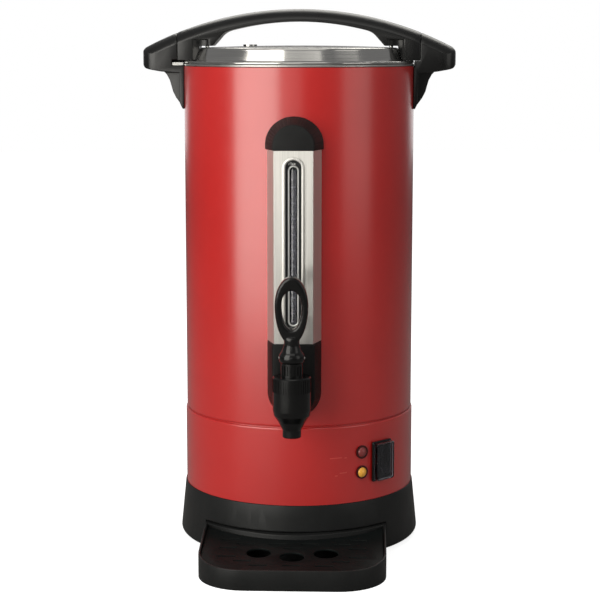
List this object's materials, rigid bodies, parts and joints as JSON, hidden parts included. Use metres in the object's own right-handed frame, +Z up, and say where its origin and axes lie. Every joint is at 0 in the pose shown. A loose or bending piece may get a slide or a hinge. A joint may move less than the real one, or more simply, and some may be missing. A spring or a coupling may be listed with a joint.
{
  "type": "coffee urn",
  "caption": "Tall round percolator coffee urn with arched lid handle, side brackets, sight gauge, lever tap, rocker switch and slide-out drip tray.",
  "frame": {"origin": "on the urn's axis, at the level of the table", "axes": "+Z up along the urn's axis, -Y towards the tap and the drip tray, +X to the right seen from the front"},
  "size_m": [0.3126, 0.3303, 0.534],
  "materials": {
    "painted_red": "satin red enamel on sheet steel",
    "tank_steel": "plain stainless steel",
    "lid_steel": "brushed stainless steel, turned",
    "channel_steel": "stainless steel brushed lengthwise",
    "basket_aluminium": "spun aluminium",
    "screw_steel": "zinc-plated and stainless small parts",
    "base_black": "moulded black plastic, fine texture",
    "handle_black": "satin black phenolic",
    "tap_black": "glossy black plastic",
    "backing_dark": "dark plate behind the sight tube",
    "foot_rubber": "black rubber",
    "silicone": "white silicone",
    "sight_glass": "clear borosilicate tube",
    "switch_black": "black switch plastic",
    "clear_boot": "clear flexible splash boot",
    "lamp_bezel": "dark red bezel",
    "red_lens": "red lamp lens, unlit",
    "amber_lens": "amber lamp lens, lit",
    "contact_brass": "plated brass blades",
    "element_dark": "sheathed heating element",
    "ceramic": "heat-proof plastic and ceramic",
    "reset_red": "red push button"
  },
  "bodies": {
    "urn": {"outer_shell": "painted_red", "base_shell": "painted_red", "tank": "tank_steel", "tank_floor": "tank_steel", "base_ring": "base_black", "bottom_plate": "tank_steel", "foot_ring": "foot_rubber", "base_screws": "screw_steel", "handle_left": "handle_black", "handle_right": "handle_black", "handle_screws": "screw_steel", "lid_catches": "screw_steel", "gauge_channel": "channel_steel", "gauge_cap": "handle_black", "gauge_backing": "backing_dark", "sight_tube": "sight_glass", "gauge_tee": "tap_black", "tube_gland": "tap_black", "tap_housing": "handle_black", "tap_shank": "screw_steel", "shank_nut": "screw_steel", "tank_gasket": "silicone", "tap_body": "tap_black", "tap_bonnet": "tap_black", "tap_spring": "screw_steel", "switch_frame": "switch_black", "switch_cover": "clear_boot", "lamp_bezels": "lamp_bezel", "lamp_heat_lens": "red_lens", "lamp_ready_lens": "amber_lens", "inlet": "switch_black", "inlet_pins": "contact_brass", "inlet_screws": "screw_steel", "warm_element": "element_dark", "pump_heater": "element_dark", "thermostats": "ceramic", "reset_cutout": "ceramic", "terminal_block": "ceramic"},
    "lid_seal_body": {"lid_seal": "silicone"},
    "lid_body": {"lid": "lid_steel", "lid_handle": "handle_black", "lid_screws": "screw_steel"},
    "tap_valve": {"tap_stem": "screw_steel", "seat_cup": "silicone"},
    "tap_handle": {"tap_lever": "tap_black", "lever_pin": "screw_steel"},
    "rocker_body": {"rocker": "switch_black"},
    "tray_body": {"drip_tray": "base_black"},
    "grid_body": {"tray_grid": "base_black"},
    "reset_body": {"reset_button": "reset_red"},
    "brew_stem": {"pump_foot": "tank_steel", "pump_tube": "tank_steel", "valve_washer": "tank_steel"},
    "basket_body": {"coffee_basket": "basket_aluminium"},
    "basket_cover_body": {"basket_cover": "basket_aluminium"}
  },
  "joints": [
    {"name": "lid_lift", "type": "slide", "parent": "urn", "child": "lid_seal_body", "axis": [0, 0, 1], "range_m": [0, 0.12]},
    {"name": "lid_turn", "type": "hinge", "parent": "lid_seal_body", "child": "lid_body", "pos_m": [0, 0, 0.48], "axis": [0, 0, 1], "range_deg": [0, 30]},
    {"name": "tap_stem_rise", "type": "slide", "parent": "urn", "child": "tap_valve", "axis": [0, 0, 1], "range_m": [0, 0.0058], "stiffness_N_per_m": 400, "springref_m": -0.004, "deforming": ["tap_spring"]},
    {"name": "tap_lever_pull", "type": "hinge", "parent": "tap_valve", "child": "tap_handle", "pos_m": [0, -0.169, 0.2121], "axis": [1, 0, 0], "range_deg": [0, 35]},
    {"name": "rocker_press", "type": "hinge", "parent": "urn", "child": "rocker_body", "pos_m": [0.08192, -0.07856, 0.0938], "axis": [0.6921, 0.7218, 0], "range_deg": [0, 18]},
    {"name": "tray_slide", "type": "slide", "parent": "urn", "child": "tray_body", "axis": [0, -1, 0], "range_m": [0, 0.12]},
    {"name": "grid_lift", "type": "slide", "parent": "tray_body", "child": "grid_body", "axis": [0, 0, 1], "range_m": [0, 0.04]},
    {"name": "reset_press", "type": "slide", "parent": "urn", "child": "reset_body", "axis": [0, 0, 1], "range_m": [0, 0.0015], "stiffness_N_per_m": 300, "springref_m": -0.002},
    {"name": "brew_lift", "type": "slide", "parent": "urn", "child": "brew_stem", "axis": [0, 0, 1], "range_m": [0, 0.014]},
    {"name": "basket_lift", "type": "slide", "parent": "brew_stem", "child": "basket_body", "axis": [0, 0, 1], "range_m": [0, 0.012]},
    {"name": "cover_lift", "type": "slide", "parent": "basket_body", "child": "basket_cover_body", "axis": [0, 0, 1], "range_m": [0, 0.01]}
  ],
  "couplings": [
    {"joint": "tap_lever_pull", "follows": "tap_stem_rise", "rad_per_m": 105.26}
  ]
}
